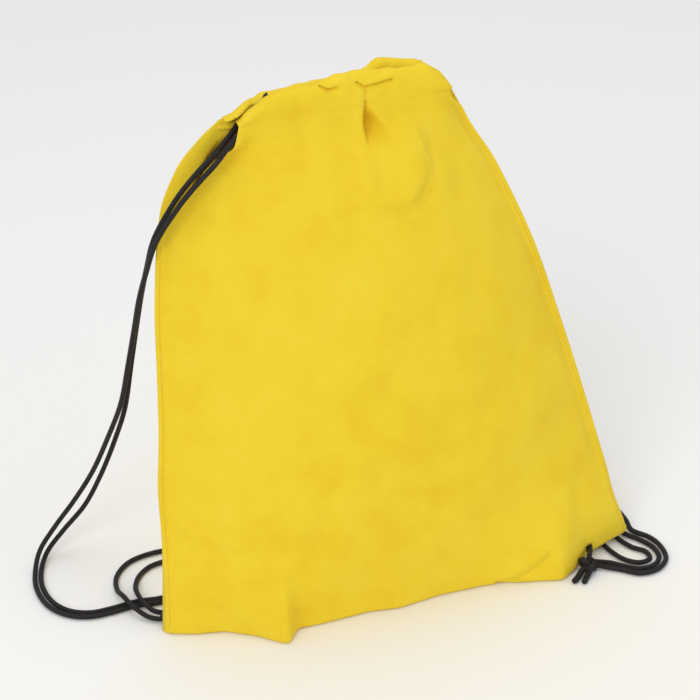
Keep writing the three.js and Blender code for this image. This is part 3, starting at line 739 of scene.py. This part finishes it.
def channel(side, u, rows=CHANNEL_ROWS):
    """Front or back channel as a grid of rows by columns."""
    line, along = curve_through([(a, h, 0) for a, h in SECTION], 30.0 / 34)
    share = np.linspace(0, along[-1], rows)
    a = np.interp(share, along, line[:, 0])[:, None]
    z = np.interp(share, along, line[:, 1])[:, None]
    inside = smooth(0.47, 0.6, share / along[-1])[:, None]
    hem = smooth(0.86, 0.95, share / along[-1])[:, None]

    def drawn_in(edge, target):
        """The inner wall stops short of the outer wall's end; the hem doesn't."""
        return edge + inside * (target - edge) * (1 - hem)
    if side < 0:
        left, right = drawn_in(FRONT_ENDS[0] + 0 * z, -57), drawn_in(FRONT_ENDS[1] + 0 * z, 38)
        top_table = FRONT_TOP
    else:
        left = np.interp(z, [357, 361], [-95.2, -92])
        right = np.interp(z, [355, 360, 366, 370, 377], [61.8, 59, 54, 49, 46])
        left, right = drawn_in(left, np.maximum(left, -76)), drawn_in(right, 38)
        top_table = BACK_TOP
    x = left + (right - left) * (u + 1) / 2
    top = np.interp(x, *np.array(top_table, float).T) + 0.5 * np.sin(x / 2.3) * np.sin(x / 9.0)
    raised = STITCH_Z + (z - STITCH_Z) * (top - STITCH_Z) / (SECTION_TOP - STITCH_Z)
    z = np.where(z > STITCH_Z, raised, z + 0 * x)
    outer = 1 - inside + hem
    ruffle = 0.55 * np.sin(x / 3.3 + 0.9 * np.sin(x / 13)) + 0.35 * np.sin(x / 1.9 + 2)
    out = a + outer * ruffle * smooth(STITCH_Z, 364, z) * (0.5 if side < 0 else 1.0)
    if side < 0:
        for points in SLOTS:
            lip = [(px, pz + 2.6) for px, pz in points]
            out = out - outer * 3.6 * stroke_share(x, z, points, 0.95)
            out = out + outer * 1.3 * stroke_share(x, z, lip, 1.8)
        out = out + outer * front_features(x, z)
        # Near the pleat and the slots the cords lie just behind the outer wall
        near = (outer > 0.5) & (a > 3) & (z > 359.5) & (z < 371) & (x > -34) & (x < 24)
        out = np.where(near, np.maximum(out, 4.3 - 2 * smooth(367, 369.5, z)), out)
    else:
        out = out + outer * back_features(x, z)
    y = MOUTH[1] + side * CHANNEL_OFFSET + side * out
    above = smooth(356.5, 359.8, z)
    if side > 0:
        return x, y + (top_y(side, u, x) - BACK_LINE_Y) * np.where(x < 0, 1, outer * (1 - above)), z
    low_edge = outer * (top_y(side, u, x) - FRONT_LINE_Y) * (1 - above)
    shifted = (1.2 * smooth(0.8, 1, u) - 3.6 * smooth(0.7, 1, -u)) * outer
    return x, y + low_edge + shifted * above, z


def layer(side, u):
    """One layer of the cloth as rows of points, from the hem inside its channel down to its bottom edge."""
    heights = np.concatenate([np.arange(356, 280, -1.35), np.linspace(280, 3.9, 114)])[:, None]
    walls = np.stack(channel(side, u), axis=2)[::-1]
    return np.vstack([walls, np.stack(np.broadcast_arrays(*panel(side, u, heights)), axis=2)])


def base_rows(u):
    """Rows of the base: round a soft fold at the front, over the floor and round one up into the back."""
    fold_height, clearance = 3.4, 0.3
    fx, fy, _ = panel(-1, u, np.array([[0.0]]))
    bx, by, _ = panel(1, u, np.array([[0.0]]))
    radius = np.minimum(fold_height, np.maximum(by - fy, 0.5) * 0.42)

    def fold(x, y, way, angles):
        """Rows round one fold; way is the direction to the base's middle."""
        rows = []
        for angle in angles:
            sine, cosine = math.sin(math.radians(angle)), math.cos(math.radians(angle))
            z = clearance + lift(x, 0) + (1 - sine) * fold_height
            rows.append(np.stack([x, y + way * radius * (1 - cosine), z], axis=2)[0])
        return rows
    flat = []
    for share in np.linspace(0, 1, 34)[1:-1]:
        y = fy + radius + (by - fy - 2 * radius) * share
        x = fx + (bx - fx) * share
        hump = np.maximum(middle_noise(x, y), 0) * 0.7 * math.sin(math.pi * share)
        flat.append(np.stack([x, y, clearance + lift(x, 0) + hump], axis=2)[0])
    return np.array(fold(fx, fy, 1, np.linspace(15, 90, 6)) + flat + fold(bx, by, -1, np.linspace(90, 15, 6)))


def build_cloth():
    """The bag's one sheet of cloth: front, base and back, with both channels."""
    u = np.linspace(-1, 1, 171)
    # More columns near the seams, where the cloth turns
    u = (0.9 * u + 0.1 * np.sign(u) * (1 - (1 - np.abs(u)) ** 2))[None, :]
    sheet = np.concatenate([layer(-1, u), base_rows(u), layer(1, u)[::-1]])
    rows, columns = sheet.shape[:2]
    middle = sheet[:, columns // 2]
    run = np.concatenate([[0], np.cumsum(np.linalg.norm(np.diff(middle, axis=0), axis=1))])
    across = u * (CLOTH_WIDTH / 2) * MM
    uv = np.stack(np.broadcast_arrays(across, (run * MM)[:, None]), axis=2).reshape(-1, 2)
    number = np.arange(rows * columns).reshape(rows, columns)
    corners = [number[:-1, :-1], number[:-1, 1:], number[1:, 1:], number[1:, :-1]]
    quads = np.stack(corners, axis=2).reshape(-1, 4)
    vertices = sheet.reshape(-1, 3)
    centres = vertices[quads].mean(axis=1)
    for x, z, y0, y1 in TIE_HOLES:
        near = np.hypot(centres[:, 0] - x, centres[:, 2] - z) < HOLE_RADIUS
        near &= (centres[:, 1] > y0) & (centres[:, 1] < y1)
        quads, centres = quads[~near], centres[~near]
    cloth = new_object("bag_cloth", vertices, quads, FABRIC, uv)
    thick = cloth.modifiers.new("thickness", "SOLIDIFY")
    thick.thickness = CLOTH_THICKNESS * MM
    thick.offset = 0
    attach(cloth, "bag")
    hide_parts("front_panel", "back_panel", "base_fold", "front_channel", "back_channel")


build_cloth()


# ---------------------------------------------------------------- stitches
SEAM_INSET = 2.8
# Height where each row of side stitches ends
SEAM_TOP = {("left", "front"): 278, ("left", "back"): 346, ("right", "front"): 338, ("right", "back"): 338}


def side_thread(name, sign):
    """Stitches up one side seam, in the front and the back layer."""
    for face, side in (("front", -1), ("back", 1)):
        h = np.linspace(6, SEAM_TOP[name, face], 240)
        x, y, z = panel(side, sign * (1 - SEAM_INSET / table(HALF_WIDTH, h)), h)
        points = np.stack([x, y + side * 0.25, z], axis=1)
        normals = np.tile([0.0, side, 0.0], (len(h), 1))
        piece = stitches(f"{name}_side_thread_{face}", points, normals, THREAD)
        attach(piece, "bag")
        if side < 0:
            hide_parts(f"{name}_side_stitching")


def channel_thread(name, side):
    """Stitches under one channel, just above the line where the cloth meets it."""
    u = np.linspace(-0.985, 0.985, 200)[None, :]
    x, y, z = channel(side, u)
    row = int(np.argmin(np.abs(z[:12, 100] - STITCH_Z - 0.2)))
    points = np.stack([x[row], y[row] - side * 0.05, z[row]], axis=1)
    piece = stitches(f"{name}_channel_thread", points, np.tile([0.0, side, 0.1], (200, 1)), THREAD)
    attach(piece, "bag")
    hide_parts(f"{name}_channel_stitching")


side_thread("left", -1)
side_thread("right", 1)
channel_thread("front", -1)
channel_thread("back", 1)


# ---------------------------------------------------------------- floor and light
LIGHTS_AIM = Vector((-0.02, 0, 0.17))


def add_light(name, place, size, power):
    """Square white lamp that points at the bag's middle."""
    data = bpy.data.lights.new(name, "AREA")
    data.size = size
    data.energy = power
    light = bpy.data.objects.new(name, data)
    light.location = place
    light.rotation_euler = (LIGHTS_AIM - Vector(place)).to_track_quat("-Z", "Y").to_euler()
    scene.collection.objects.link(light)


def build_stage():
    """Wide pale floor just below the bag, an even white surround and three soft lamps."""
    far, level = 9000, -0.2
    corners = [(-far, -far, level), (far, -far, level), (far, far, level), (-far, far, level)]
    floor = new_object("floor", corners, [(0, 1, 2, 3)], floor_material())
    world = bpy.data.worlds.new("world")
    scene.world = world
    world.use_nodes = True
    world.node_tree.nodes["Background"].inputs["Color"].default_value = (1, 1, 1, 1)
    world.node_tree.nodes["Background"].inputs["Strength"].default_value = 0.56
    add_light("key", (-1.3, -1.8, 1.9), 1.6, 26)
    add_light("fill", (1.6, -1.3, 1.0), 1.6, 4)
    add_light("top", (0.1, 0.6, 2.2), 1.8, 12)


build_stage()
